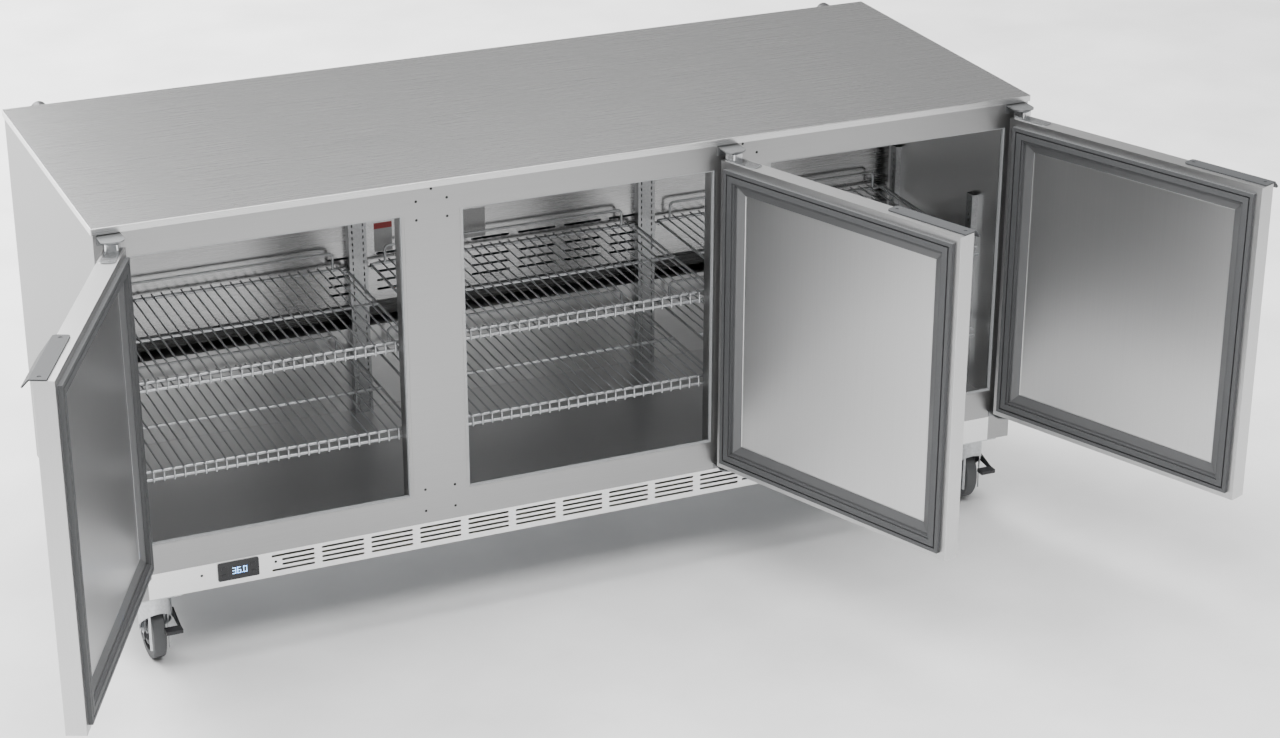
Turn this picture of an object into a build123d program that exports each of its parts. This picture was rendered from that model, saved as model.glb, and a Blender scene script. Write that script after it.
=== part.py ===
from build123d import *
import os
from math import cos, sin, radians

# Three-door undercounter reach in refrigerator on casters, its doors standing open.
# Millimetres. X runs to the right along the front, Y to the back, Z up.
# The origin is the centre of the worktop's upper face.

os.makedirs("parts", exist_ok=True)

# ---------------------------------------------------------------- driving dimensions
top_width = 1829.0
top_depth = 698.5
top_edge = 12.0
sheet = 1.2
overall_height = 874.0

body_half = 911.0
body_bottom = -720.0
front = -top_depth / 2 + 4.0          # plane of the front frame
back = 345.0                          # outer face of the back panel

rail_bottom = -60.0
sill_top = -612.0
kick_top = -670.0
frame_lip = 16.0                      # how far the frame's edges turn inwards
opening_half = 863.5
mullion_x = 304.8
mullion_width = 114.0
mullion_depth = 40.0
cover_half = 52.3                     # half width of a mullion's cover, out to its seams
seam_width = 1.2
seam_depth = 0.6

liner_half = 865.0
liner_sheet = 1.0
panel_gap = 0.2                       # between neighbouring liner panels
ceiling = -56.0
floor = -630.0
inner_back = 112.8                    # face of the evaporator cover and lower back liner
skirt_top = -405.0
ledge = -456.0
partition_floor = -462.0
partition_foam = 40.0
duct_back = 299.0                     # rear liner of the evaporator compartment
floor_foam_bottom = -668.0

door_width = 564.0
door_height = 620.5
door_top = -34.0
door_depth = 35.5
door_gap = 8.15                       # from a closed door's inner face to the front frame
pin_inset = 14.9                      # hinge pin from the door's hinge edge
pin_from_face = 16.3                  # hinge pin from the door's outer face
pin_r = 4.0
pin_clearance = 0.06
bore_r = pin_r + pin_clearance
gasket_height = 7.8
gasket_inset = 13.0
gasket_width = 25.0

post_x = 304.8                        # shelf posts stand behind the mullions
post_width = 36.0
wall_pilaster_depth = 12.0
slot_pitch = 12.7

upper_shelf = -315.0                  # tops of the shelf wires
lower_shelf = -488.0
shelf_front = -302.0
shelf_rear = 98.0
wire_pitch = 19.25
wire_r = 1.7
rod_r = 3.2
stop_rise = 31.0

caster_x = 844.5
caster_front_y = -298.0
caster_rear_y = 250.0
caster_trail = 32.0
wheel_r = 62.0
wheel_half = 12.0
axle_r = 5.0
hood_r = 31.0

pin_y = front - door_gap - door_depth + pin_from_face
door_bottom = door_top - door_height

# name, side of the hinge (+1: hinged at its left end, -1: at its right end), pin X, open angle
doors = [
    ("left", 1, -884.1, 115.2),
    ("middle", -1, 274.6, 111.5),
    ("right", -1, 884.1, 112.3),
]
casters = [
    ("front_left", -caster_x, caster_front_y),
    ("front_right", caster_x, caster_front_y),
    ("rear_left", -caster_x, caster_rear_y),
    ("rear_right", caster_x, caster_rear_y),
]


def box(x0, x1, y0, y1, z0, z1, mode=Mode.ADD):
    """A block between two corners, added to the part being built."""
    with BuildSketch(Plane.XY.offset(z0)) as profile:
        with Locations(((x0 + x1) / 2, (y0 + y1) / 2)):
            Rectangle(abs(x1 - x0), abs(y1 - y0))
    extrude(profile.sketch, amount=z1 - z0, mode=mode)


def finish(builder, name):
    """Label a finished piece and write it."""
    builder.part.label = name
    export_step(builder.part, "parts/" + name + ".step")


# ---------------------------------------------------------------- worktop
with BuildPart() as worktop:
    box(-top_width / 2, top_width / 2, -top_depth / 2, top_depth / 2, -top_edge, 0)
    fillet(worktop.edges().filter_by(Axis.Z), 2.0)
    fillet(worktop.faces().sort_by(Axis.Z)[-1].edges(), 1.0)
    wall = 1.5
    box(-top_width / 2 + wall, top_width / 2 - wall, -top_depth / 2 + wall, top_depth / 2 - wall,
        -top_edge, -wall, mode=Mode.SUBTRACT)
finish(worktop, "worktop")

# ---------------------------------------------------------------- outer cabinet
vent_x = [-600 + 120 * i for i in range(11)]
vent_z = [-545 - 18 * i for i in range(9)]
vent_length = 90.0
vent_height = 6.0
with BuildPart() as outer_panels:
    for side in (-1, 1):
        box(side * (body_half - sheet), side * body_half, front + sheet, back, body_bottom, -top_edge)
    with BuildSketch(Plane.XZ.offset(-back)):
        with Locations((0, (body_bottom + sheet - top_edge) / 2)):
            Rectangle(2 * (body_half - sheet - panel_gap), -top_edge - body_bottom - sheet)
        with Locations([(x, z) for x in vent_x for z in vent_z]):
            SlotOverall(vent_length, vent_height, mode=Mode.SUBTRACT)
    extrude(amount=sheet)
finish(outer_panels, "outer_panels")

with BuildPart() as base_pan:
    box(-body_half + sheet, body_half - sheet, front + sheet, back, body_bottom, body_bottom + sheet)
    with BuildSketch(Plane.XY.offset(body_bottom + sheet)):
        with Locations((-130, 250)):
            RectangleRounded(980, 170, 12)
    extrude(amount=2.0)
finish(base_pan, "base_pan")

# ---------------------------------------------------------------- front frame
frame_back = front + frame_lip
mullion_back = front + mullion_depth
rail_screws = [(s * mullion_x + d, -36.5) for s in (-1, 1) for d in (-29, 29)]
rail_screws += [(-mullion_x, -16.0), (mullion_x, -16.0)]
mullion_screws = [(s * mullion_x + d, z) for s in (-1, 1) for d in (-29, 29) for z in (-71.5, -601)]
sill_screws = [(s * mullion_x + d, -644.8) for s in (-1, 1) for d in (-29, 29)]
kick_screws = [(-764.8, -690.8), (-626.0, -690.5), (626.0, -690.5), (764.8, -690.8)]
front_screws = rail_screws + mullion_screws + sill_screws + kick_screws
screw_r = 1.7
screw_head_r = 2.5
screw_hole_r = screw_head_r + 0.05
screw_sunk = 0.05                     # the heads sit flush, clear of the closed doors' gaskets


def front_holes(places):
    """Screw holes through a front sheet."""
    with BuildSketch(Plane.XZ.offset(-front)) as profile:
        with Locations(places):
            Circle(screw_hole_r)
    extrude(profile.sketch, amount=-3 * sheet, mode=Mode.SUBTRACT)


with BuildPart() as front_rails:
    box(-opening_half, opening_half, front, front + sheet, rail_bottom, -top_edge)
    box(-opening_half, opening_half, front, frame_back, rail_bottom, rail_bottom + sheet)
    box(-opening_half, opening_half, front, front + sheet, kick_top, sill_top)
    box(-opening_half, opening_half, front, frame_back, sill_top - sheet, sill_top)
    box(-opening_half, opening_half, frame_back - sheet, frame_back, floor - liner_sheet, sill_top)
    front_holes(rail_screws + sill_screws)
finish(front_rails, "front_rails")

with BuildPart() as front_posts:
    for side in (-1, 1):
        box(side * opening_half, side * body_half, front, front + sheet, body_bottom, -top_edge)
        box(side * opening_half, side * (opening_half + sheet), front, frame_back,
            floor - liner_sheet, ceiling)
    with BuildSketch(Plane.YZ):
        with BuildLine():
            Polyline((front, rail_bottom), (front, sill_top), (frame_back, sill_top), (frame_back, floor),
                     (mullion_back, floor), (mullion_back, ceiling), (frame_back, ceiling),
                     (frame_back, rail_bottom), close=True)
        make_face()
    mullion_blank = extrude(amount=mullion_width / 2, both=True, mode=Mode.PRIVATE)
    with Locations((-mullion_x, 0, 0), (mullion_x, 0, 0)):
        add(mullion_blank)
    for side in (-1, 1):
        inner = mullion_width / 2 - sheet
        box(side * mullion_x - inner, side * mullion_x + inner, front + sheet, mullion_back - sheet,
            sill_top + sheet, rail_bottom - sheet, mode=Mode.SUBTRACT)
        for seam in (-cover_half, cover_half):
            box(side * mullion_x + seam - seam_width / 2, side * mullion_x + seam + seam_width / 2,
                front, front + seam_depth, sill_top, rail_bottom, mode=Mode.SUBTRACT)
    front_holes(mullion_screws)
finish(front_posts, "front_posts")

# thin strips that line each opening, just inside the frame's edges
strip = 2.0
strip_depth = 8.0
bays = [
    (-opening_half, -mullion_x - mullion_width / 2),
    (-mullion_x + mullion_width / 2, mullion_x - mullion_width / 2),
    (mullion_x + mullion_width / 2, opening_half),
]
with BuildPart() as breaker_strips:
    for left, right in bays:
        with BuildSketch(Plane.XZ.offset(-front - 1.0)):
            with Locations(((left + right) / 2, (rail_bottom + sill_top) / 2)):
                Rectangle(right - left, rail_bottom - sill_top)
                Rectangle(right - left - 2 * strip, rail_bottom - sill_top - 2 * strip, mode=Mode.SUBTRACT)
        extrude(amount=-strip_depth)
finish(breaker_strips, "breaker_strips")

with BuildPart() as panel_screws:
    with BuildSketch(Plane.XZ.offset(-front - screw_sunk)):
        with Locations(front_screws):
            Circle(screw_r)
    extrude(amount=-9)
    with BuildSketch(Plane.XZ.offset(-front - screw_sunk)):
        with Locations(front_screws):
            Circle(screw_head_r)
    extrude(amount=-sheet)
    heads = panel_screws.faces().filter_by(Axis.Y).group_by(Axis.Y)[0]
    fillet(heads.edges(), 0.3)
finish(panel_screws, "panel_screws")

# ---------------------------------------------------------------- liner
with BuildPart() as liner_panels:
    for side in (-1, 1):
        box(side * liner_half, side * (liner_half + liner_sheet), frame_back, duct_back,
            floor - liner_sheet, ceiling + liner_sheet)
    span = liner_half - panel_gap
    shelf_of_ledge = 18.0
    box(-span, span, frame_back, inner_back + liner_sheet, floor - liner_sheet, floor)
    box(-span, span, frame_back, duct_back, ceiling, ceiling + liner_sheet)
    box(-span, span, inner_back, inner_back + liner_sheet, floor + panel_gap, ledge - liner_sheet - panel_gap)
    box(-span, span, inner_back, inner_back + shelf_of_ledge, ledge - liner_sheet, ledge)
    box(-span, span, duct_back, duct_back + liner_sheet, partition_floor, ceiling - panel_gap)
    box(-span, span, inner_back + liner_sheet + panel_gap, duct_back - panel_gap,
        partition_floor - liner_sheet, partition_floor)
finish(liner_panels, "liner_panels")

foam_half = liner_half + liner_sheet
foam_outer = body_half - sheet
partition_bottom = partition_floor - liner_sheet - partition_foam
lower_foam_back = inner_back + liner_sheet + partition_foam
duct_foam = duct_back + liner_sheet
with BuildPart() as insulation:
    for side in (-1, 1):
        box(side * foam_half, side * foam_outer, frame_back, back - sheet, floor_foam_bottom, -top_edge - 2)
        box(side * mullion_x - 55, side * mullion_x + 55, front + 14, mullion_back - sheet,
            sill_top + 2, rail_bottom - 2)
    box(-foam_half, foam_half, frame_back, duct_foam, ceiling + liner_sheet, -top_edge - 2)
    box(-liner_half, liner_half, duct_foam, back - sheet, partition_bottom, -top_edge - 2)
    box(-liner_half, liner_half, inner_back + liner_sheet, duct_foam, partition_bottom,
        partition_floor - liner_sheet)
    box(-liner_half, liner_half, inner_back + liner_sheet, lower_foam_back, floor_foam_bottom,
        partition_bottom)
    box(-foam_half, foam_half, frame_back, inner_back + liner_sheet, floor_foam_bottom,
        floor - liner_sheet)
    box(-top_width / 2 + 4, top_width / 2 - 4, -top_depth / 2 + 6, top_depth / 2 - 4, -top_edge + 0.2, -1.5)
finish(insulation, "insulation")

# ---------------------------------------------------------------- evaporator compartment
louvre_groups = 7
louvre_pitch = 98.7
louvre_width = 81.0
louvre_centre = -24.5
louvre_rows = 5
louvre_row_pitch = 18.5
louvre_top = -308.0
slot_height = 5.0
louvres = [
    (louvre_centre + louvre_pitch * (i - (louvre_groups - 1) / 2), louvre_top - louvre_row_pitch * j)
    for i in range(louvre_groups) for j in range(louvre_rows)
]
with BuildPart() as evaporator_cover:
    with BuildSketch(Plane.XZ.offset(-inner_back)):
        with Locations((0, (ceiling + skirt_top) / 2)):
            Rectangle(2 * liner_half, ceiling - skirt_top)
        with Locations(louvres):
            SlotOverall(louvre_width, slot_height, mode=Mode.SUBTRACT)
        with Locations((-32, -403 + 14), (-8, -403 + 14)):
            with GridLocations(4, 4, 4, 3):
                Circle(1.1, mode=Mode.SUBTRACT)
    extrude(amount=-liner_sheet)
    with BuildSketch(Plane.YZ.offset(-liner_half)):
        with BuildLine():
            Polyline((inner_back, skirt_top), (inner_back + 24, ledge + 10),
                     (inner_back + 25.2, ledge + 10), (inner_back + 1.2, skirt_top), close=True)
        make_face()
    extrude(amount=2 * liner_half)
finish(evaporator_cover, "evaporator_cover")

coil_x0, coil_x1 = -360.0, 320.0
tray_top = body_bottom + sheet + 2.0
coil_y0, coil_y1 = 175.0, 275.0
coil_z0, coil_z1 = -452.0, -262.0
with BuildPart() as coils:
    fins = 35
    fin_pitch = (coil_x1 - coil_x0) / (fins - 1)
    with BuildSketch(Plane.YZ.offset(coil_x0)):
        with Locations(((coil_y0 + coil_y1) / 2, (coil_z0 + coil_z1) / 2)):
            Rectangle(coil_y1 - coil_y0, coil_z1 - coil_z0)
    fin = extrude(amount=0.6, mode=Mode.PRIVATE)
    with Locations([(fin_pitch * i, 0, 0) for i in range(fins)]):
        add(fin)
    with BuildSketch(Plane.YZ.offset(coil_x0 - 12)):
        with Locations(((coil_y0 + coil_y1) / 2, (coil_z0 + coil_z1) / 2)):
            with GridLocations(34, 38, 3, 5):
                Circle(5)
    extrude(amount=coil_x1 - coil_x0 + 24)

    # the condenser's coil stands on the tray under the cabinet's rear
    cond_fins = 24
    with BuildSketch(Plane.YZ.offset(60)):
        with Locations((250, tray_top + 90)):
            Rectangle(130, 180)
    cond_fin = extrude(amount=0.8, mode=Mode.PRIVATE)
    with Locations([(6 * i, 0, 0) for i in range(cond_fins)]):
        add(cond_fin)
    with BuildSketch(Plane.YZ.offset(50)):
        with Locations((250, tray_top + 92)):
            with GridLocations(36, 34, 3, 5):
                Circle(4.5)
    extrude(amount=6 * cond_fins + 14)
finish(coils, "coils")

# ---------------------------------------------------------------- fans: motors fixed, blades turn
evap_fan = (430.0, 200.0, -300.0)
cond_fan = (-60.0, 250.0, -612.0)


def fan_blades(hub_plane, radius, hub_r, shaft_r):
    """A hub on its shaft with five pitched blades, turning about the plane's normal."""
    with BuildSketch(hub_plane) as profile:
        Circle(hub_r)
        Circle(shaft_r, mode=Mode.SUBTRACT)
    extrude(profile.sketch, amount=16)
    centre = hub_plane.offset(8)
    for i in range(5):
        a = radians(72 * i)
        out = centre.x_dir * cos(a) + centre.y_dir * sin(a)
        across = centre.y_dir * cos(a) - centre.x_dir * sin(a)
        tilted = across * cos(radians(28)) + centre.z_dir * sin(radians(28))
        blade = Plane(origin=centre.origin + out * (hub_r - 2), x_dir=tilted, z_dir=out)
        with BuildSketch(blade) as profile:
            RectangleRounded(30, 1.6, 0.7)
        extrude(profile.sketch, amount=radius - hub_r)


evap_plane = Plane(origin=(evap_fan[0], evap_fan[1], evap_fan[2]), x_dir=(1, 0, 0), z_dir=(0, -1, 0))
cond_plane = Plane(origin=(cond_fan[0], cond_fan[1], cond_fan[2]), x_dir=(0, 1, 0), z_dir=(1, 0, 0))
shaft_r = 3.0
for name, plane in (("evaporator_fan", evap_plane), ("condenser_fan", cond_plane)):
    with BuildPart() as blades:
        fan_blades(plane, 72, 16, shaft_r + pin_clearance)
    finish(blades, name)

with BuildPart() as fan_motors:
    for plane in (evap_plane, cond_plane):
        behind = plane.offset(-6)
        with BuildSketch(behind):
            Circle(30)
        extrude(amount=-45)
        with BuildSketch(behind):
            Circle(shaft_r)
        extrude(amount=20)
    # the evaporator fan's motor hangs on the rear liner, the condenser fan's stands on the tray
    box(evap_fan[0] - 15, evap_fan[0] + 15, evap_fan[1] + 50, duct_back, evap_fan[2] - 15, evap_fan[2] + 15)
    box(cond_fan[0] - 45, cond_fan[0] - 12, cond_fan[1] - 20, cond_fan[1] + 20, body_bottom + sheet + 2,
        cond_fan[2] - 22)
finish(fan_motors, "fan_motors")

# ---------------------------------------------------------------- condensing unit
with BuildPart() as compressor:
    with BuildSketch(Plane.XY.offset(tray_top + 18)):
        with Locations((-450, 250)):
            Ellipse(78, 66)
    extrude(amount=150)
    fillet(compressor.edges().filter_by(GeomType.ELLIPSE), 28)
    with BuildSketch(Plane.XY.offset(tray_top + 26)):
        with Locations((-450, 250)):
            RectangleRounded(190, 130, 14)
    extrude(amount=4)
    with BuildSketch(Plane.XY.offset(tray_top)):
        with Locations((-450, 250)):
            with GridLocations(156, 96, 2, 2):
                Circle(11)
    extrude(amount=26)
finish(compressor, "compressor")


# ---------------------------------------------------------------- shelf supports
post_rows = 37
pilaster_rows = 30
post_rear_y = inner_back - 20
front_post_y = mullion_back + 30
post_bottom = floor
post_top = floor + slot_pitch * (post_rows + 1)
pilaster_top = -227.0


def shelf_post(x, y_open, y_face):
    """A channel with its web towards the shelves' middle and two rows of clip slots."""
    inward = 1 if y_face > y_open else -1
    box(x - post_width / 2, x + post_width / 2, y_open, y_face, post_bottom, post_top)
    box(x - post_width / 2 + 1.5, x + post_width / 2 - 1.5, y_open, y_face - 1.5 * inward,
        post_bottom, post_top, mode=Mode.SUBTRACT)
    with BuildSketch(Plane.XZ.offset(-min(y_face, y_face - 3 * inward))) as profile:
        with Locations((x, (post_bottom + post_top) / 2)):
            with GridLocations(22, slot_pitch, 2, post_rows):
                Rectangle(2.4, 7)
            Rectangle(4, post_top - post_bottom - 12)
    extrude(profile.sketch, amount=-3, mode=Mode.SUBTRACT)
    with BuildSketch(Plane.XZ.offset(-min(y_face, y_face - 1.5 * inward))) as profile:
        with Locations((x, (post_bottom + post_top) / 2)):
            Rectangle(4, post_top - post_bottom - 12)
    extrude(profile.sketch, amount=-1.5)


with BuildPart() as pilasters:
    for side in (-1, 1):
        shelf_post(side * post_x, inner_back, post_rear_y)
        shelf_post(side * post_x, mullion_back, front_post_y)
        for y in (-244.0, 71.0):
            x_wall = side * liner_half
            x_face = side * (liner_half - wall_pilaster_depth)
            box(x_wall, x_face, y - 11, y + 11, floor, pilaster_top)
            box(x_wall, x_face + side * 1.5, y - 9.5, y + 9.5, floor, pilaster_top, mode=Mode.SUBTRACT)
            with BuildSketch(Plane.YZ.offset(min(x_face, x_face + side * 2))):
                with Locations((y, (floor + pilaster_top) / 2)):
                    with GridLocations(10, slot_pitch, 1, pilaster_rows):
                        Rectangle(3, 6.5)
            extrude(amount=2, mode=Mode.SUBTRACT)
finish(pilasters, "pilasters")

# shelf name, its level, left and right ends, and the X faces that its clips hook on
bay_ends = [
    ("left", -liner_half + wall_pilaster_depth, -post_x - post_width / 2),
    ("middle", -post_x + post_width / 2, post_x - post_width / 2),
    ("right", post_x + post_width / 2, liner_half - wall_pilaster_depth),
]
levels = [("upper", upper_shelf), ("lower", lower_shelf)]
side_play = 4.0
rod_drop = wire_r + rod_r - 0.3
side_rod_r = 2.7                      # side rods lie a little lower than the cross rods
side_rod_drop = 1.4
front_rod_in = 11.0                   # upper front rod behind the wires' bends
stop_rod_r = 2.6
clip_gap = 0.3
# from the wires' tops to a clip's upper face
clip_drop = wire_r + rod_drop + side_rod_drop + side_rod_r + clip_gap

with BuildPart() as shelf_clips:
    for level_name, z in levels:
        for bay, left, right in bay_ends:
            for x, inward in ((left, 1), (right, -1)):
                on_wall = abs(x) > 800
                for y in ((-244.0, 71.0) if on_wall else (mullion_back + 18, post_rear_y + 5)):
                    box(x, x + inward * 11, y - 5, y + 5, z - clip_drop - 2, z - clip_drop)
                    box(x, x + inward * 2, y - 5, y + 5, z - clip_drop - 15, z - clip_drop - 2)
                    box(x + inward * 9, x + inward * 11, y - 5, y + 5, z - clip_drop - 6, z - clip_drop - 2)
finish(shelf_clips, "shelf_clips")


def wire_shelf(x0, x1, z):
    """A welded wire shelf: wires from front to back on cross rods, with a raised stop at the rear."""
    wire_z = z - wire_r
    rod_z = wire_z - rod_drop
    width = x1 - x0
    middle = (x0 + x1) / 2
    count = int((width - 2 * rod_r - 6) / wire_pitch)
    with BuildSketch(Plane.YZ.offset(x0 + rod_r)) as profile:
        for y in (shelf_front + front_rod_in, (shelf_front + shelf_rear) / 2, shelf_rear - rod_r):
            with Locations((y, rod_z)):
                Circle(rod_r)
        with Locations((shelf_front + 3.5, rod_z - 12)):
            Circle(rod_r)
    extrude(profile.sketch, amount=width - 2 * rod_r)
    with BuildSketch(Plane.XZ.offset(-shelf_front - 7)) as profile:
        with Locations((x0 + 4.4, rod_z - side_rod_drop), (x1 - 4.4, rod_z - side_rod_drop)):
            Circle(side_rod_r)
    extrude(profile.sketch, amount=-(shelf_rear - shelf_front - 8))
    with BuildLine(mode=Mode.PRIVATE) as wire_path:
        FilletPolyline((middle, shelf_rear + 4, wire_z), (middle, shelf_front, wire_z),
                       (middle, shelf_front, rod_z - 16), radius=5)
    with BuildSketch(Plane(origin=wire_path.line @ 0, z_dir=wire_path.line % 0)) as profile:
        Circle(wire_r)
    wire = sweep(profile.sketch, path=wire_path.line, mode=Mode.PRIVATE)
    with Locations([(wire_pitch * (i - (count - 1) / 2), 0, 0) for i in range(count)]):
        add(wire)
    # the stop is a bent rod of its own: its legs stand on the rear cross rod, between two wires
    stop_foot = rod_z + rod_r + 0.05
    stop_y = shelf_rear - rod_r
    stop_half = wire_pitch * (count / 2 - 1)
    stop_z = z + stop_rise - stop_rod_r
    with BuildLine(mode=Mode.PRIVATE) as stop_path:
        FilletPolyline((middle - stop_half, stop_y, stop_foot), (middle - stop_half, stop_y, stop_z),
                       (middle + stop_half, stop_y, stop_z), (middle + stop_half, stop_y, stop_foot), radius=9)
    with BuildSketch(Plane(origin=stop_path.line @ 0, z_dir=stop_path.line % 0)) as profile:
        Circle(stop_rod_r)
    sweep(profile.sketch, path=stop_path.line)


for level_name, z in levels:
    for bay, left, right in bay_ends:
        with BuildPart() as shelf:
            wire_shelf(left + side_play, right - side_play, z)
        finish(shelf, "shelf_" + level_name + "_" + bay)

# ---------------------------------------------------------------- kick grille and controller
grille_groups = 10
grille_pitch = 95.4
grille_slot = 81.5
grille_start = -633.3
grille_rows = 4
grille_row_pitch = 9.6
grille_top = -678.5
grille_slot_height = 4.2
control_x = -696.5
control_z = -691.0
control_width = 77.0
control_height = 36.0
with BuildPart() as kick_grille:
    with BuildSketch(Plane.XZ.offset(-front)):
        with Locations((0, (kick_top + body_bottom) / 2)):
            Rectangle(2 * opening_half, kick_top - body_bottom)
        for i in range(grille_groups):
            for j in range(grille_rows):
                # the first group's middle slots start late, beside a screw
                short = 19.3 if i == 0 and j in (1, 2) else 0.0
                x0 = grille_start + grille_pitch * i + short
                with Locations((x0 + (grille_slot - short) / 2, grille_top - grille_row_pitch * j)):
                    SlotOverall(grille_slot - short, grille_slot_height, mode=Mode.SUBTRACT)
        with Locations((323, -704)):
            SlotOverall(16, 4, mode=Mode.SUBTRACT)
        with Locations((control_x, control_z)):
            Rectangle(control_width - 6, control_height - 6, mode=Mode.SUBTRACT)
    extrude(amount=-sheet)
    front_holes(kick_screws)
finish(kick_grille, "kick_grille")

bezel = 3.0
button_travel = 0.8
button_width = 8.0
button_height = 6.0
button_play = 0.15
buttons = [
    ("upper_left", -28.5, 7.0),
    ("lower_left", -28.5, -7.5),
    ("upper_right", 28.5, 7.0),
    ("lower_right", 28.5, -7.5),
]
with BuildPart() as controller_body:
    with BuildSketch(Plane.XZ.offset(-front)):
        with Locations((control_x, control_z)):
            RectangleRounded(control_width, control_height, 3)
    extrude(amount=bezel)
    fillet(controller_body.faces().sort_by(Axis.Y)[0].edges(), 0.8)
    box(control_x - control_width / 2 + 4, control_x + control_width / 2 - 4, front, front + 50,
        control_z - control_height / 2 + 4, control_z + control_height / 2 - 4)
    with BuildSketch(Plane.XZ.offset(-front + bezel)):
        for name, dx, dz in buttons:
            with Locations((control_x + dx, control_z + dz)):
                Rectangle(button_width + 2 * button_play, button_height + 2 * button_play)
    extrude(amount=-6, mode=Mode.SUBTRACT)
    with BuildSketch(Plane.XZ.offset(-front + bezel)):
        with Locations((control_x, control_z)):
            Rectangle(40, 22)
    extrude(amount=-1.2, mode=Mode.SUBTRACT)
    # the display's lens, a loose pane in its recess
    with BuildSketch(Plane.XZ.offset(-front + bezel - 1.0)):
        with Locations((control_x, control_z)):
            Rectangle(40 - 2 * button_play, 22 - 2 * button_play)
    extrude(amount=0.8)
finish(controller_body, "controller_body")

for name, dx, dz in buttons:
    with BuildPart() as button:
        with BuildSketch(Plane.XZ.offset(-front + bezel + button_travel + 0.2)):
            with Locations((control_x + dx, control_z + dz)):
                RectangleRounded(button_width, button_height, 1.2)
        extrude(amount=-5)
        fillet(button.faces().sort_by(Axis.Y)[0].edges(), 0.5)
    finish(button, "button_" + name)

# ---------------------------------------------------------------- wall bumpers
bumper_x = 838.0
bumper_z = -18.0
bumper_r = 16.0
neck_r = 8.0
neck_z = -24.0
knob_start = top_depth / 2 + 0.4
bumper_end = 381.0
with BuildPart() as rear_bumpers:
    with BuildSketch(Plane.XZ.offset(-back)):
        with Locations((-bumper_x, neck_z), (bumper_x, neck_z)):
            Circle(neck_r)
    extrude(amount=-(knob_start + 4 - back))
    with BuildSketch(Plane.XZ.offset(-knob_start)):
        with Locations((-bumper_x, bumper_z), (bumper_x, bumper_z)):
            Circle(bumper_r)
    extrude(amount=-(bumper_end - knob_start))
    outer = rear_bumpers.faces().filter_by(Axis.Y).group_by(Axis.Y)[-1]
    fillet(outer.edges(), 3)
finish(rear_bumpers, "rear_bumpers")

# ---------------------------------------------------------------- hinge brackets, fixed to the frame
leaf = 2.5
bracket_half = 21.0
top_leaf_z = -14.0
bottom_leaf_z = door_bottom - 3.0
pin_nose = 12.0


def bracket(x, leaf_z, pin_end, back_z0, back_z1):
    """An angle bracket on the frame with a rounded leaf and its hinge pin."""
    with BuildSketch(Plane.XY.offset(leaf_z)) as profile:
        with Locations((x, (front + pin_y) / 2)):
            Rectangle(2 * bracket_half, front - pin_y)
        with Locations((x, pin_y)):
            RectangleRounded(2 * bracket_half, 32, 15)
    extrude(profile.sketch, amount=-leaf)
    box(x - bracket_half, x + bracket_half, front - 2.0, front, back_z0, back_z1)
    with BuildSketch(Plane.XY.offset(leaf_z - leaf if pin_end < leaf_z else leaf_z)) as profile:
        with Locations((x, pin_y)):
            Circle(pin_r)
    extrude(profile.sketch, amount=pin_end - (leaf_z - leaf if pin_end < leaf_z else leaf_z))


with BuildPart() as hinge_brackets:
    for name, side, x, angle in doors:
        bracket(x, top_leaf_z, door_top - pin_nose, -32.0, top_leaf_z)
        bracket(x, bottom_leaf_z, door_bottom + pin_nose, bottom_leaf_z - leaf - 8, bottom_leaf_z)
finish(hinge_brackets, "hinge_brackets")

# ---------------------------------------------------------------- doors
skin = 1.0
barrel_r = 8.0
window_inset = 30.0
liner_depth = 8.0
liner_recess = 7.0
handle_length = 177.0
handle_plate = 2.5
handle_out = 5.0


def door_plane(side, x, angle):
    """The frame of one door at its open angle: origin on the pin, X along the door, Y to its inside."""
    turn = -side * radians(angle)
    return Plane(origin=(x, pin_y, 0), x_dir=(cos(turn), sin(turn), 0), z_dir=(0, 0, 1))


def slab(plane, side, u0, u1, s0, s1, z0, z1, mode=Mode.ADD):
    """A block of a door: u from the hinge edge, s from the outer face."""
    x0 = side * (u0 - pin_inset)
    x1 = side * (u1 - pin_inset)
    with BuildSketch(plane.offset(z0)) as profile:
        with Locations(((x0 + x1) / 2, (s0 + s1) / 2 - pin_from_face)):
            Rectangle(abs(x1 - x0), s1 - s0)
    extrude(profile.sketch, amount=z1 - z0, mode=mode)


def inside_plane(plane, side, s):
    """The plane of a door's inner side at depth s, centred on the door, facing inwards."""
    centre = Vector(side * (door_width / 2 - pin_inset), s - pin_from_face, (door_top + door_bottom) / 2)
    return Plane(origin=plane.from_local_coords(centre), x_dir=plane.x_dir * -1, z_dir=plane.y_dir)


def ring(inset, width):
    """A rectangular band that follows the door's edges."""
    Rectangle(door_width - 2 * inset, door_height - 2 * inset)
    Rectangle(door_width - 2 * (inset + width), door_height - 2 * (inset + width), mode=Mode.SUBTRACT)


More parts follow.
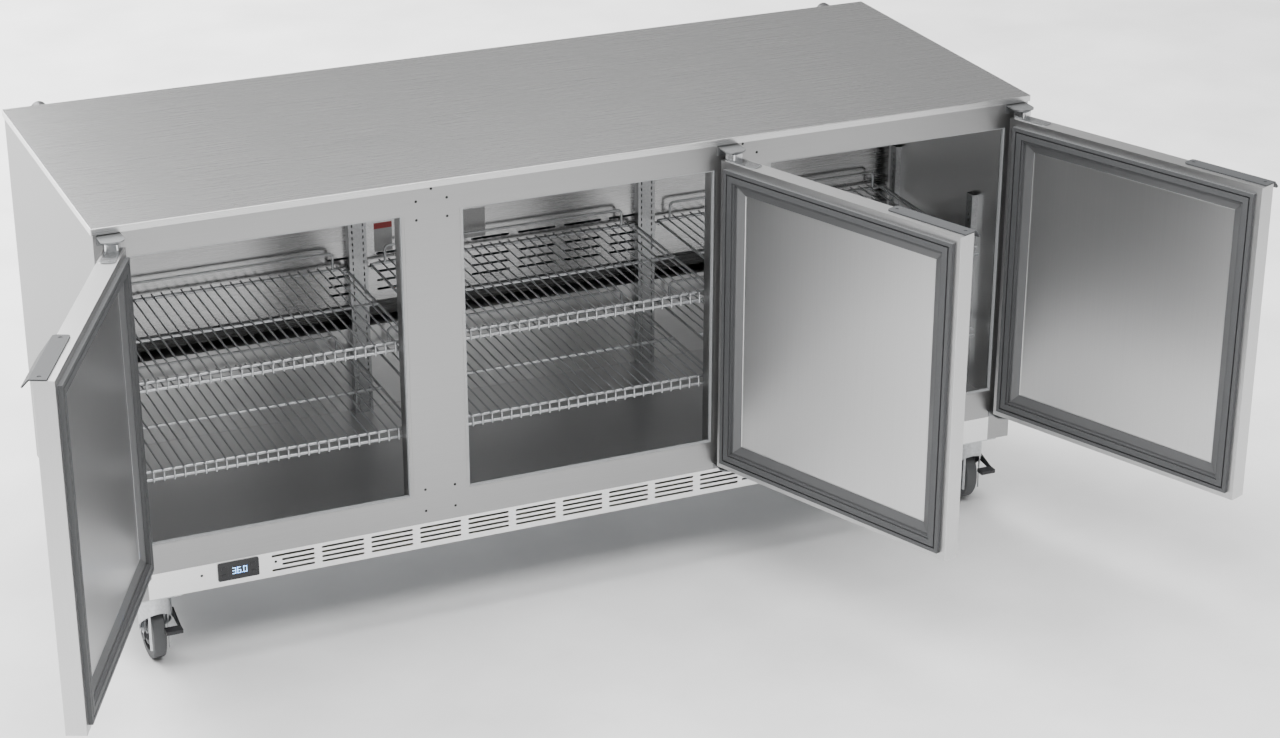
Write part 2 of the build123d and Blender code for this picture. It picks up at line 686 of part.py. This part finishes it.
for name, side, x, angle in doors:
    plane = door_plane(side, x, angle)
    free = door_width

    with BuildPart() as door_pan:
        slab(plane, side, 0, free, 0, door_depth, door_bottom, door_top)
        fillet(door_pan.edges().filter_by(Axis.Z), 1.0)
        slab(plane, side, skin, free - skin, skin, door_depth - skin, door_bottom + skin, door_top - skin,
             mode=Mode.SUBTRACT)
        with BuildSketch(inside_plane(plane, side, door_depth)):
            Rectangle(door_width - 2 * window_inset, door_height - 2 * window_inset)
        extrude(amount=-2 * skin, mode=Mode.SUBTRACT)
        for z in (door_bottom, door_top):
            with BuildSketch(plane.offset(z)):
                Circle(barrel_r + 0.5)
            extrude(amount=2 * skin, both=True, mode=Mode.SUBTRACT)
    finish(door_pan, "door_" + name + "_pan")

    with BuildPart() as door_liner:
        with BuildSketch(inside_plane(plane, side, door_depth)):
            Rectangle(door_width - 2 * window_inset, door_height - 2 * window_inset)
        extrude(amount=-liner_depth)
        with BuildSketch(inside_plane(plane, side, door_depth)):
            Rectangle(door_width - 84, door_height - 84)
        with BuildSketch(inside_plane(plane, side, door_depth - liner_recess)):
            Rectangle(door_width - 116, door_height - 116)
        loft(mode=Mode.SUBTRACT)
    finish(door_liner, "door_" + name + "_liner")

    with BuildPart() as door_core:
        slab(plane, side, skin, free - skin, skin, door_depth - liner_depth - 0.5, door_bottom + skin,
             door_top - skin)
        for z in (door_bottom, door_top):
            with BuildSketch(plane.offset(z)):
                Circle(barrel_r + 2)
            extrude(amount=34, both=True, mode=Mode.SUBTRACT)
    finish(door_core, "door_" + name + "_core")

    with BuildPart() as door_gasket:
        with BuildSketch(inside_plane(plane, side, door_depth)):
            ring(gasket_inset, gasket_width)
        extrude(amount=gasket_height)
        with BuildSketch(inside_plane(plane, side, door_depth + gasket_height)):
            ring(gasket_inset + 7, 3)
            ring(gasket_inset + 21, 1.5)
        extrude(amount=-4, mode=Mode.SUBTRACT)
        with BuildSketch(inside_plane(plane, side, door_depth + gasket_height)):
            ring(gasket_inset + 22.5, 2.5)
        extrude(amount=-2, mode=Mode.SUBTRACT)
    finish(door_gasket, "door_" + name + "_gasket")

    handle_u0 = door_width - handle_length
    screw_x = [side * (u - pin_inset) for u in (handle_u0 + 12, door_width - 12)]
    with BuildPart() as door_handle:
        slab(plane, side, handle_u0, door_width, -handle_out, 23.5, door_top, door_top + handle_plate)
        rear = plane.from_local_coords(Vector(side * (door_width / 2), 60, door_top))
        corners = door_handle.edges().filter_by(Axis.Z).sort_by_distance(rear)[0:2]
        fillet(corners, 6)
        # the grip slopes outwards and down from the plate's outer edge, its inner end drawn back
        slope = (plane.y_dir * -13 + plane.z_dir * -14).normalized()
        corner = plane.from_local_coords(
            Vector(side * (handle_u0 - pin_inset), -handle_out - pin_from_face, door_top + handle_plate))
        along = plane.x_dir * side
        outward = along.cross(slope).normalized()
        grip = Plane(origin=corner, x_dir=along, z_dir=outward)
        down = 1 if grip.y_dir.dot(slope) > 0 else -1
        with BuildSketch(grip):
            with BuildLine():
                Polyline((3, 0), (handle_length, 0), (handle_length, down * 16), (handle_length - 4, down * 20),
                         (46, down * 20), (3, down * 2), close=True)
            make_face()
        inward = -1 if outward.dot(plane.y_dir * -1 + plane.z_dir) > 0 else 1
        extrude(amount=inward * handle_plate)
        with BuildSketch(plane.offset(door_top + handle_plate)):
            with Locations([(u, 9.5 - pin_from_face) for u in screw_x]):
                Circle(3.4)
        extrude(amount=-0.9, mode=Mode.SUBTRACT)
    finish(door_handle, "door_" + name + "_handle")

    with BuildPart() as door_hinge:
        # rounded plate on the door's top, the bright cartridge on it, and its barrel in the door
        with BuildSketch(plane.offset(door_top)):
            with Locations((side * (40 - pin_inset), 18.5 - pin_from_face)):
                RectangleRounded(76, 28, 9)
        extrude(amount=1.6)
        with BuildSketch(plane.offset(door_top + 1.6)):
            RectangleRounded(25, 24, 4)
        extrude(amount=14)
        top_edges = door_hinge.faces().sort_by(Axis.Z)[-1].edges()
        chamfer(top_edges, 2)
        with BuildSketch(plane.offset(door_top)):
            Circle(barrel_r)
        extrude(amount=-30)
        with BuildSketch(plane.offset(door_bottom)):
            Circle(barrel_r)
        extrude(amount=28)
        with BuildSketch(plane.offset(door_bottom)):
            Circle(barrel_r + 5)
        extrude(amount=-1.6)
        with BuildSketch(plane.offset(door_bottom - 5)):
            Circle(bore_r)
        extrude(amount=door_height + 30, mode=Mode.SUBTRACT)
    finish(door_hinge, "door_" + name + "_hinge")

# ---------------------------------------------------------------- casters
plate_z = body_bottom
plate_t = 3.5
hood_top = plate_z - plate_t - 1.5
kingpin_r = 10.0
wheel_z = -overall_height + wheel_r
pedal_y = 8.0                         # brake pedal's pivot behind the kingpin
pedal_z = hood_top - 55.0
stud_r = 2.5

with BuildPart() as caster_plates:
    for name, x, y in casters:
        with BuildSketch(Plane.XY.offset(plate_z)):
            with Locations((x, y)):
                RectangleRounded(90, 90, 8)
                with GridLocations(70, 70, 2, 2):
                    Circle(4.2, mode=Mode.SUBTRACT)
        extrude(amount=-plate_t)
        with BuildSketch(Plane.XY.offset(plate_z - plate_t)):
            with Locations((x, y)):
                Circle(kingpin_r)
        extrude(amount=-6.5)
        with BuildSketch(Plane.XY.offset(plate_z - plate_t - 6.5)):
            with Locations((x, y)):
                Circle(kingpin_r + 4)
        extrude(amount=-2)
finish(caster_plates, "caster_plates")

for name, x, y in casters:
    axle_y = y + caster_trail
    with BuildPart() as fork:
        with BuildSketch(Plane.XY.offset(hood_top)):
            with Locations((x, y)):
                Circle(hood_r)
        extrude(amount=-110)
        with BuildSketch(Plane.XY.offset(hood_top - 3)):
            with Locations((x, y)):
                Circle(hood_r - 2.5)
        extrude(amount=-120, mode=Mode.SUBTRACT)
        for s in (-1, 1):
            with BuildSketch(Plane.YZ.offset(x + s * 17.5)):
                with BuildLine():
                    Polyline((y - 16, hood_top - 3), (y + 16, hood_top - 3), (axle_y + 13, wheel_z),
                             (axle_y - 13, wheel_z), close=True)
                make_face()
                with Locations((axle_y, wheel_z)):
                    Circle(13)
            extrude(amount=1.5, both=True)
        # the hood's mouth is cut on a slope that falls to the rear
        with BuildSketch(Plane.YZ.offset(x - 15.5)):
            with BuildLine():
                Polyline((y - 40, hood_top - 26), (y + 40, hood_top - 106), (y + 40, hood_top - 140),
                         (y - 40, hood_top - 140), close=True)
            make_face()
        mouth = extrude(amount=31, mode=Mode.PRIVATE)
        add(mouth, mode=Mode.SUBTRACT)
        for s in (-1, 1):
            with BuildSketch(Plane.YZ.offset(x + s * 19.05)):
                with BuildLine():
                    Polyline((y - 40, hood_top - 26), (y + 40, hood_top - 106), (y + 40, hood_top - 140),
                             (y - 40, hood_top - 140), close=True)
                make_face()
            extrude(amount=s * 15, mode=Mode.SUBTRACT)
        box(x - 14.5, x + 14.5, y, y + 45, hood_top - 125, hood_top - 21, mode=Mode.SUBTRACT)
        with BuildSketch(Plane.XY.offset(hood_top + 1)):
            with Locations((x, y)):
                Circle(kingpin_r + pin_clearance)
        extrude(amount=-5, mode=Mode.SUBTRACT)
        with BuildSketch(Plane.YZ.offset(x - 40)):
            with Locations((axle_y, wheel_z)):
                Circle(axle_r)
        extrude(amount=80, mode=Mode.SUBTRACT)
        # axle bolt with its head and nut outside the legs
        with BuildSketch(Plane.YZ.offset(x - 19)):
            with Locations((axle_y, wheel_z)):
                Circle(axle_r)
        extrude(amount=38)
        for s in (-1, 1):
            with BuildSketch(Plane.YZ.offset(x + s * 19)):
                with Locations((axle_y, wheel_z)):
                    RegularPolygon(8.5, 6)
            extrude(amount=s * 4)
        if name.startswith("front"):
            # the brake pedal's stud stands out of the right leg through the hood
            with BuildSketch(Plane.YZ.offset(x + 17)):
                with Locations((y + pedal_y, pedal_z)):
                    Circle(stud_r)
            extrude(amount=21)
    finish(fork, "caster_" + name + "_fork")

    with BuildPart() as wheel:
        with BuildSketch(Plane.YZ.offset(x)):
            with Locations((axle_y, wheel_z)):
                Circle(wheel_r)
        extrude(amount=wheel_half, both=True)
        fillet(wheel.edges().filter_by(GeomType.CIRCLE), 3)
        for s in (-1, 1):
            with BuildSketch(Plane.YZ.offset(x + s * wheel_half)):
                with Locations((axle_y, wheel_z)):
                    Circle(46.5)
                    Circle(35, mode=Mode.SUBTRACT)
                    Circle(28)
                    Circle(15, mode=Mode.SUBTRACT)
            extrude(amount=-s * 6, mode=Mode.SUBTRACT)
        with BuildSketch(Plane.YZ.offset(x - 20)):
            with Locations((axle_y, wheel_z)):
                Circle(axle_r + pin_clearance)
        extrude(amount=40, mode=Mode.SUBTRACT)
    finish(wheel, "caster_" + name + "_wheel")

# brake pedals of the front casters: a toe tab on a side arm that turns on the fork's stud
for name, x, y in casters[0:2]:
    pivot_y = y + pedal_y
    with BuildPart() as pedal:
        with BuildSketch(Plane.YZ.offset(x + 32.5)):
            with Locations((pivot_y, pedal_z)):
                Circle(8)
            with BuildLine():
                Polyline((pivot_y, pedal_z + 7.5), (pivot_y, pedal_z - 7.5), (y - 40, pedal_z - 12),
                         (y - 40, pedal_z - 6), close=True)
            make_face()
        extrude(amount=4)
        box(x + 5, x + 36.5, y - 58, y - 38, pedal_z - 13, pedal_z - 6)
        fillet(pedal.edges().filter_by(Axis.Z), 1.5)
        with BuildSketch(Plane.YZ.offset(x + 30)):
            with Locations((pivot_y, pedal_z)):
                Circle(stud_r + pin_clearance)
        extrude(amount=10, mode=Mode.SUBTRACT)
    finish(pedal, "caster_" + name + "_brake")
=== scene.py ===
import math

import bmesh
import bpy
from mathutils import Matrix, Vector


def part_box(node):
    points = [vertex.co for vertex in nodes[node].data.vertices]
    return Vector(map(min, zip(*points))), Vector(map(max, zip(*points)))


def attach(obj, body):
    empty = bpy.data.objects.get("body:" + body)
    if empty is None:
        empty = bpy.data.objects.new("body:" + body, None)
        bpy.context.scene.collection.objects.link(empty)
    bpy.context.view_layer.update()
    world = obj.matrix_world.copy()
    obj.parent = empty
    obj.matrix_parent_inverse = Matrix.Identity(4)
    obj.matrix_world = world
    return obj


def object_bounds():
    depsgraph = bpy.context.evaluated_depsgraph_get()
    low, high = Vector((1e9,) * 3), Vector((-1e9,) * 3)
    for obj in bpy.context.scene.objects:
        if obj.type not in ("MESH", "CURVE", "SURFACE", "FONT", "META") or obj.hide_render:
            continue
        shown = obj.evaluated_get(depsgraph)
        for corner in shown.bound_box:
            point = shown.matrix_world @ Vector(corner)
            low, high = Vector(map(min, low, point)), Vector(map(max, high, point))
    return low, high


# Three-door under-counter reach in refrigerator in brushed stainless steel, on casters.
# Metres, in the part's own frame: X to the right, Y to the back, Z up from the worktop's upper face.
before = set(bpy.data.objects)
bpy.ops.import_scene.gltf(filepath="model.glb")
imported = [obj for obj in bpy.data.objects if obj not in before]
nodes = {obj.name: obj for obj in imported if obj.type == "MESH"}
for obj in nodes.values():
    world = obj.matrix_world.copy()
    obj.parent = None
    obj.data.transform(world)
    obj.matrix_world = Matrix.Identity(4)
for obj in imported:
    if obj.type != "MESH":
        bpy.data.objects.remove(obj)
cad_low, cad_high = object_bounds()
scene = bpy.context.scene

# ---------------------------------------------------------------- camera
camera_at = (-1.8715, -4.8391, 1.6970)
camera_data = bpy.data.cameras.new("front_left_camera")
camera = bpy.data.objects.new("front_left_camera", camera_data)
scene.collection.objects.link(camera)
right = Vector((0.91662, -0.39976, 0.0006))
down = Vector((-0.16739, -0.38523, -0.90751))
forward = Vector((0.36303, 0.83174, -0.42002))
turn = Matrix((right, -down, -forward)).transposed().to_4x4()
camera.matrix_world = Matrix.Translation(camera_at) @ turn
camera_data.lens = 80.08
camera_data.sensor_width = 36.0
camera_data.shift_x = 0.0034
camera_data.shift_y = 0.0533
scene.camera = camera


# ---------------------------------------------------------------- shader helpers
def material(name, color, roughness, metallic=0.0):
    """A material with its Principled shader, ready for its pattern."""
    made = bpy.data.materials.new(name)
    made.use_nodes = True
    shader = made.node_tree.nodes["Principled BSDF"]
    shader.inputs["Base Color"].default_value = (*color, 1.0)
    shader.inputs["Roughness"].default_value = roughness
    shader.inputs["Metallic"].default_value = metallic
    return made, made.node_tree.nodes, made.node_tree.links, shader


def mapped_noise(tree_nodes, links, scale, detail, stretch=(1.0, 1.0, 1.0)):
    """Noise on object coordinates, stretched along the grain."""
    where = tree_nodes.new("ShaderNodeTexCoord")
    mapping = tree_nodes.new("ShaderNodeMapping")
    mapping.inputs["Scale"].default_value = stretch
    noise = tree_nodes.new("ShaderNodeTexNoise")
    noise.inputs["Scale"].default_value = scale
    noise.inputs["Detail"].default_value = detail
    links.new(where.outputs["Object"], mapping.inputs["Vector"])
    links.new(mapping.outputs["Vector"], noise.inputs["Vector"])
    return noise


def ranged(tree_nodes, links, source, low, high):
    """A 0 to 1 value brought between two others."""
    spread = tree_nodes.new("ShaderNodeMapRange")
    spread.inputs["To Min"].default_value = low
    spread.inputs["To Max"].default_value = high
    links.new(source, spread.inputs["Value"])
    return spread.outputs["Result"]


def tinted(tree_nodes, links, source, dark, light):
    """A colour between two tones."""
    ramp = tree_nodes.new("ShaderNodeValToRGB")
    ramp.color_ramp.elements[0].position = 0.3
    ramp.color_ramp.elements[0].color = (*dark, 1.0)
    ramp.color_ramp.elements[1].position = 0.7
    ramp.color_ramp.elements[1].color = (*light, 1.0)
    links.new(source, ramp.inputs["Fac"])
    return ramp.outputs["Color"]


def bumped(tree_nodes, links, shader, source, strength, distance):
    """Fine relief from a value."""
    bump = tree_nodes.new("ShaderNodeBump")
    bump.inputs["Strength"].default_value = strength
    bump.inputs["Distance"].default_value = distance
    links.new(source, bump.inputs["Height"])
    links.new(bump.outputs["Normal"], shader.inputs["Normal"])


# ---------------------------------------------------------------- finishes
across_scale = 1100.0                # scratches per metre across the grain
along_scale = 4.0                    # and along it
cloud_share = 0.35                   # how much of the tone comes from soft clouds
grains = {
    "across": (along_scale, across_scale, across_scale),
    "upright": (across_scale, across_scale, along_scale),
}


def brushed(name, tone, rough, grain):
    """Brushed stainless: the grain runs across (along X) or upright (along Z)."""
    made, tree_nodes, links, shader = material(name, (tone, tone, tone * 1.01), rough, 1.0)
    lines = mapped_noise(tree_nodes, links, 1.0, 3.0, grains[grain])
    cloud = mapped_noise(tree_nodes, links, 2.2, 2.0)
    links.new(ranged(tree_nodes, links, lines.outputs["Fac"], rough - 0.03, rough + 0.03),
              shader.inputs["Roughness"])
    mix = tree_nodes.new("ShaderNodeMix")
    mix.data_type = "FLOAT"
    mix.inputs["Factor"].default_value = cloud_share
    links.new(lines.outputs["Fac"], mix.inputs["A"])
    links.new(cloud.outputs["Fac"], mix.inputs["B"])
    links.new(tinted(tree_nodes, links, mix.outputs[0], (tone * 0.96,) * 3, (tone * 1.03,) * 3),
              shader.inputs["Base Color"])
    bumped(tree_nodes, links, shader, lines.outputs["Fac"], 0.015, 0.00002)
    return made


def plain(name, color, rough, metallic, scale, bump):
    """A painted, moulded or plated finish with fine mottling."""
    made, tree_nodes, links, shader = material(name, color, rough, metallic)
    speck = mapped_noise(tree_nodes, links, scale, 4.0)
    dark = tuple(c * 0.88 for c in color)
    light = tuple(min(1.0, c * 1.12) for c in color)
    links.new(tinted(tree_nodes, links, speck.outputs["Fac"], dark, light), shader.inputs["Base Color"])
    links.new(ranged(tree_nodes, links, speck.outputs["Fac"], rough * 0.9, min(1.0, rough * 1.12)),
              shader.inputs["Roughness"])
    bumped(tree_nodes, links, shader, speck.outputs["Fac"], bump, 0.0003)
    return made


# colours of a caster wheel outwards from its axle, each from a radius in metres
wheel_bands = [
    (0.0, (0.35, 0.36, 0.37, 1.0)),
    (0.015, (0.012, 0.012, 0.013, 1.0)),
    (0.027, (0.09, 0.092, 0.095, 1.0)),
    (0.036, (0.012, 0.012, 0.013, 1.0)),
    (0.0465, (0.075, 0.077, 0.08, 1.0)),
]
ramp_reach = 0.1                     # the radius at a ramp's far end


def tyre(name, axle):
    """A caster wheel: zinc hub, black rim and rubber tyre, told apart by the distance from the axle."""
    made, tree_nodes, links, shader = material(name, (0.03, 0.03, 0.032), 0.55)
    where = tree_nodes.new("ShaderNodeTexCoord")
    away = tree_nodes.new("ShaderNodeVectorMath")
    away.operation = "SUBTRACT"
    away.inputs[1].default_value = axle
    flat = tree_nodes.new("ShaderNodeVectorMath")
    flat.operation = "MULTIPLY"
    flat.inputs[1].default_value = (0.0, 1.0, 1.0)
    size = tree_nodes.new("ShaderNodeVectorMath")
    size.operation = "LENGTH"
    links.new(where.outputs["Object"], away.inputs[0])
    links.new(away.outputs["Vector"], flat.inputs[0])
    links.new(flat.outputs["Vector"], size.inputs[0])
    ramp = tree_nodes.new("ShaderNodeValToRGB")
    stops = ramp.color_ramp
    stops.interpolation = "CONSTANT"
    stops.elements.remove(stops.elements[1])
    for index, (radius, color) in enumerate(wheel_bands):
        band = stops.elements.new(radius / ramp_reach) if index else stops.elements[0]
        band.color = color
    scaled = tree_nodes.new("ShaderNodeMath")
    scaled.operation = "MULTIPLY"
    scaled.inputs[1].default_value = 1.0 / ramp_reach
    links.new(size.outputs["Value"], scaled.inputs[0])
    links.new(scaled.outputs["Value"], ramp.inputs["Fac"])
    links.new(ramp.outputs["Color"], shader.inputs["Base Color"])
    speck = mapped_noise(tree_nodes, links, 600.0, 3.0)
    bumped(tree_nodes, links, shader, speck.outputs["Fac"], 0.15, 0.0003)
    return made


pin_y = -0.3726
panel_height = 0.0127                # just above a liner's flat panel, inwards from the pin
# painted shade: a flat dark grey put on the liners' sloped recess walls where their shadow falls
slope_shade_grey = (0.12, 0.122, 0.125, 1.0)


def door_inside_painted_shade(name, pin_x, turn):
    """A door's brushed liner with painted shade on its sloped walls, told apart by the height above its
    flat panel: the slopes get a flat dark grey and little metal in place of their shadow.
    """
    made = brushed(name, 0.70, 0.34, "upright")
    tree_nodes, links = made.node_tree.nodes, made.node_tree.links
    shader = tree_nodes["Principled BSDF"]
    inward = Vector((-math.sin(turn), math.cos(turn), 0.0))
    panel_at = inward.dot(Vector((pin_x, pin_y, 0.0))) + panel_height
    # the painted shade goes where a point stands higher than the flat panel, on the sloped walls
    where = tree_nodes.new("ShaderNodeTexCoord")
    along = tree_nodes.new("ShaderNodeVectorMath")
    along.operation = "DOT_PRODUCT"
    along.inputs[1].default_value = inward
    links.new(where.outputs["Object"], along.inputs[0])
    sloped = tree_nodes.new("ShaderNodeMath")
    sloped.operation = "GREATER_THAN"
    sloped.inputs[1].default_value = panel_at
    links.new(along.outputs["Value"], sloped.inputs[0])
    shade = tree_nodes.new("ShaderNodeMix")
    shade.data_type = "RGBA"
    # of the mix's many sockets, 6 and 7 are its two colours and output 2 is the mixed one
    shade.inputs[7].default_value = slope_shade_grey
    links.new(sloped.outputs["Value"], shade.inputs[0])
    links.new(shader.inputs["Base Color"].links[0].from_socket, shade.inputs[6])
    links.new(shade.outputs[2], shader.inputs["Base Color"])
    # the painted shade also takes most of the metal off the sloped walls
    links.new(ranged(tree_nodes, links, sloped.outputs["Value"], 1.0, 0.2), shader.inputs["Metallic"])
    return made


def glowing(name, color, strength):
    """A lit display segment with a faint unevenness."""
    made, tree_nodes, links, shader = material(name, color, 0.4)
    speck = mapped_noise(tree_nodes, links, 900.0, 2.0)
    light = tuple(min(1.0, c * 1.1) for c in color)
    glow = tinted(tree_nodes, links, speck.outputs["Fac"], color, light)
    links.new(glow, shader.inputs["Base Color"])
    links.new(glow, shader.inputs["Emission Color"])
    shader.inputs["Emission Strength"].default_value = strength
    return made


top_steel = brushed("worktop_steel", 0.60, 0.27, "across")
# painted shade: the outer panels' steel is made much darker than the worktop's to hold down the
# overhead light's bright reflection on the side
body_shade_steel = brushed("cabinet_steel", 0.18, 0.34, "upright")
# painted shade: the front frame's steel is made darker than the worktop's so that the rails come out as
# dim as the less lit front
front_shade_steel = brushed("front_frame_shade_steel", 0.34, 0.34, "across")
# painted highlight: the kick panel's steel is made far paler than the rest of the front to stand in for
# the light thrown up from the bright floor
kick_highlight_steel = brushed("kick_panel_highlight_steel", 0.92, 0.45, "across")
liner_steel = brushed("liner_steel", 0.62, 0.33, "across")
wall_steel = brushed("back_wall_steel", 0.36, 0.27, "across")
door_steel = brushed("door_steel", 0.54, 0.36, "upright")
galvanised = plain("galvanised_sheet", (0.42, 0.43, 0.44), 0.45, 0.8, 60.0, 0.1)
handle_paint = plain("charcoal_powder_coat", (0.045, 0.047, 0.05), 0.55, 0.0, 900.0, 0.25)
gasket_grey = plain("gasket_grey", (0.075, 0.077, 0.08), 0.6, 0.0, 500.0, 0.12)
foam = plain("foam_core", (0.78, 0.70, 0.42), 0.9, 0.0, 120.0, 0.4)
black_moulded = plain("black_moulded", (0.018, 0.018, 0.020), 0.42, 0.0, 700.0, 0.15)
grey_moulded = plain("grey_strip", (0.42, 0.43, 0.44), 0.5, 0.0, 400.0, 0.08)
screw_black = plain("black_screw", (0.006, 0.006, 0.006), 0.4, 0.4, 800.0, 0.1)
wire_coat = plain("plated_wire", (0.46, 0.47, 0.48), 0.36, 0.8, 300.0, 0.05)
zinc = plain("bright_zinc", (0.66, 0.67, 0.68), 0.24, 1.0, 260.0, 0.06)
pilaster_grey = plain("pilaster_steel", (0.34, 0.345, 0.35), 0.38, 1.0, 260.0, 0.06)
bracket_grey = plain("bracket_grey", (0.24, 0.245, 0.25), 0.38, 0.8, 300.0, 0.08)
fins = plain("coil_aluminium", (0.62, 0.64, 0.66), 0.35, 1.0, 500.0, 0.1)
hood_zinc = plain("caster_hood_zinc", (0.5, 0.51, 0.52), 0.3, 1.0, 200.0, 0.06)
plate_pale = plain("blank_plate", (0.36, 0.36, 0.36), 0.5, 0.0, 500.0, 0.05)
plate_red = plain("blank_plate_band", (0.30, 0.03, 0.03), 0.5, 0.0, 500.0, 0.05)
digit_glow = glowing("display_segment", (0.32, 0.62, 1.0), 3.0)

# ---------------------------------------------------------------- what each CAD node wears
dressed = {
    "worktop": top_steel,
    "outer_panels": body_shade_steel,
    "base_pan": galvanised,
    "front_rails": front_shade_steel,
    "front_posts": front_shade_steel,
    "breaker_strips": grey_moulded,
    "panel_screws": screw_black,
    "liner_panels": liner_steel,
    "insulation": foam,
    "evaporator_cover": wall_steel,
    "coils": fins,
    "fan_motors": black_moulded,
    "evaporator_fan": black_moulded,
    "condenser_fan": black_moulded,
    "compressor": black_moulded,
    "pilasters": pilaster_grey,
    "shelf_clips": pilaster_grey,
    "kick_grille": kick_highlight_steel,
    "controller_body": black_moulded,
    "rear_bumpers": black_moulded,
    "hinge_brackets": bracket_grey,
    "caster_plates": hood_zinc,
}
# the X of each door's hinge pin, and the door's turn from closed as it stands
door_turns = {
    "left": (-0.8841, math.radians(-115.2)),
    "middle": (0.2746, math.radians(111.5)),
    "right": (0.8841, math.radians(112.3)),
}
door_finish = {
    "pan": door_steel,
    "core": foam,
    "gasket": gasket_grey,
    "handle": handle_paint,
    "hinge": zinc,
}


def finish_of(name):
    """The material of a CAD node."""
    if name in dressed:
        return dressed[name]
    last = name.split("_")[-1]
    if last == "liner":
        return door_inside_painted_shade(name + "_steel", *door_turns[name.split("_")[1]])
    if name.startswith("door_"):
        return door_finish[last]
    if name.startswith("shelf_"):
        return wire_coat
    if last == "fork":
        return hood_zinc
    if last == "wheel":
        low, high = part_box(name)
        return tyre(name + "_rubber", tuple((low + high) / 2))
    return black_moulded


for name, thing in nodes.items():
    thing.data.materials.clear()
    thing.data.materials.append(finish_of(name))


# ---------------------------------------------------------------- display figures and blank plates
def slab(build, x0, x1, y0, y1, z0, z1):
    """A block between two corners."""
    made = bmesh.ops.create_cube(build, size=1.0)["verts"]
    bmesh.ops.scale(build, verts=made, vec=(x1 - x0, y1 - y0, z1 - z0))
    bmesh.ops.translate(build, verts=made, vec=((x0 + x1) / 2, (y0 + y1) / 2, (z0 + z1) / 2))


def piece(name, build, surface):
    """A new piece on the cabinet from the blocks that were built."""
    mesh = bpy.data.meshes.new(name)
    build.to_mesh(mesh)
    build.free()
    mesh.materials.append(surface)
    made = bpy.data.objects.new(name, mesh)
    scene.collection.objects.link(made)
    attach(made, "cabinet")


# a figure's lit segments: top, upper right, lower right, bottom, lower left, upper left, middle
segments = {"3": (1, 1, 1, 1, 0, 0, 1), "6": (1, 0, 1, 1, 1, 1, 1), "0": (1, 1, 1, 1, 1, 1, 0)}
figure_front = -0.34815               # 0.1 mm proud of the display's lens
figure_back = -0.34785
digit_z = -0.691
digit_half = 0.0062
digit_wide = 0.0068
stroke = 0.0013
digit_start = -0.7085
digit_pitch = 0.0092
point_room = 0.0022
point_x = -0.6905
point_wide = 0.0015
figures = bmesh.new()
for index, shown in enumerate("360"):
    left = digit_start + index * digit_pitch + (point_room if index == 2 else 0.0)
    r = left + digit_wide
    spans = (
        (left, r, digit_z + digit_half - stroke, digit_z + digit_half),
        (r - stroke, r, digit_z, digit_z + digit_half),
        (r - stroke, r, digit_z - digit_half, digit_z),
        (left, r, digit_z - digit_half, digit_z - digit_half + stroke),
        (left, left + stroke, digit_z - digit_half, digit_z),
        (left, left + stroke, digit_z, digit_z + digit_half),
        (left, r, digit_z - stroke / 2, digit_z + stroke / 2),
    )
    for lit, (x0, x1, z0, z1) in zip(segments[shown], spans):
        if lit:
            slab(figures, x0, x1, figure_front, figure_back, z0, z1)
slab(figures, point_x, point_x + point_wide, figure_front, figure_back,
     digit_z - digit_half, digit_z - digit_half + stroke)
piece("display_figures", figures, digit_glow)

plate_front = 0.1124                  # 0.4 mm proud of the inner back wall
plate_back = 0.1130
plate_bottom = -0.304
left_plate = (-0.265, -0.228)
middle_plate = (-0.085, -0.0345)
middle_top = -0.244
band_bottom = -0.257
band_top = -0.245
plates = bmesh.new()
slab(plates, *left_plate, plate_front, plate_back, plate_bottom, band_bottom)
slab(plates, *middle_plate, plate_front, plate_back, plate_bottom, middle_top)
piece("blank_plates", plates, plate_pale)
bands = bmesh.new()
slab(bands, *left_plate, plate_front, plate_back, band_bottom, band_top)
piece("plate_band", bands, plate_red)

# ---------------------------------------------------------------- floor, sky and lights
floor_half = 40.0
floor_paint = plain("studio_floor", (0.95, 0.95, 0.95), 0.8, 0.0, 3.0, 0.0)
floor_mesh = bpy.data.meshes.new("studio_floor")
ground = bmesh.new()
bmesh.ops.create_grid(ground, x_segments=1, y_segments=1, size=floor_half)
bmesh.ops.translate(ground, verts=ground.verts, vec=(0.0, 0.0, cad_low.z))
ground.to_mesh(floor_mesh)
ground.free()
floor_mesh.materials.append(floor_paint)
floor = bpy.data.objects.new("studio_floor", floor_mesh)
scene.collection.objects.link(floor)

sky_strength = 0.32
world = bpy.data.worlds.new("studio")
scene.world = world
world.use_nodes = True
world.node_tree.nodes["Background"].inputs["Color"].default_value = (1.0, 1.0, 1.0, 1.0)
world.node_tree.nodes["Background"].inputs["Strength"].default_value = sky_strength


def panel(name, place, aim, width, height, power):
    """A soft rectangular light that faces a point."""
    lamp = bpy.data.lights.new(name, "AREA")
    lamp.shape = "RECTANGLE"
    lamp.size = width
    lamp.size_y = height
    lamp.energy = power
    stand = bpy.data.objects.new(name, lamp)
    stand.matrix_world = Matrix.Translation(place) @ (
        (Vector(aim) - Vector(place)).to_track_quat("-Z", "Y").to_matrix().to_4x4())
    scene.collection.objects.link(stand)


panel("overhead", (-2.4, 3.0, 6.0), (-2.4, 2.6, -0.9), 12.0, 9.0, 1900.0)
panel("back_left", (-1.9, 4.6, 2.3), (-0.6, 0.0, 0.0), 3.2, 3.4, 380.0)
panel("front_fill", (-0.2, -2.4, 2.6), (0.0, -1.1, -0.87), 3.0, 1.4, 110.0)
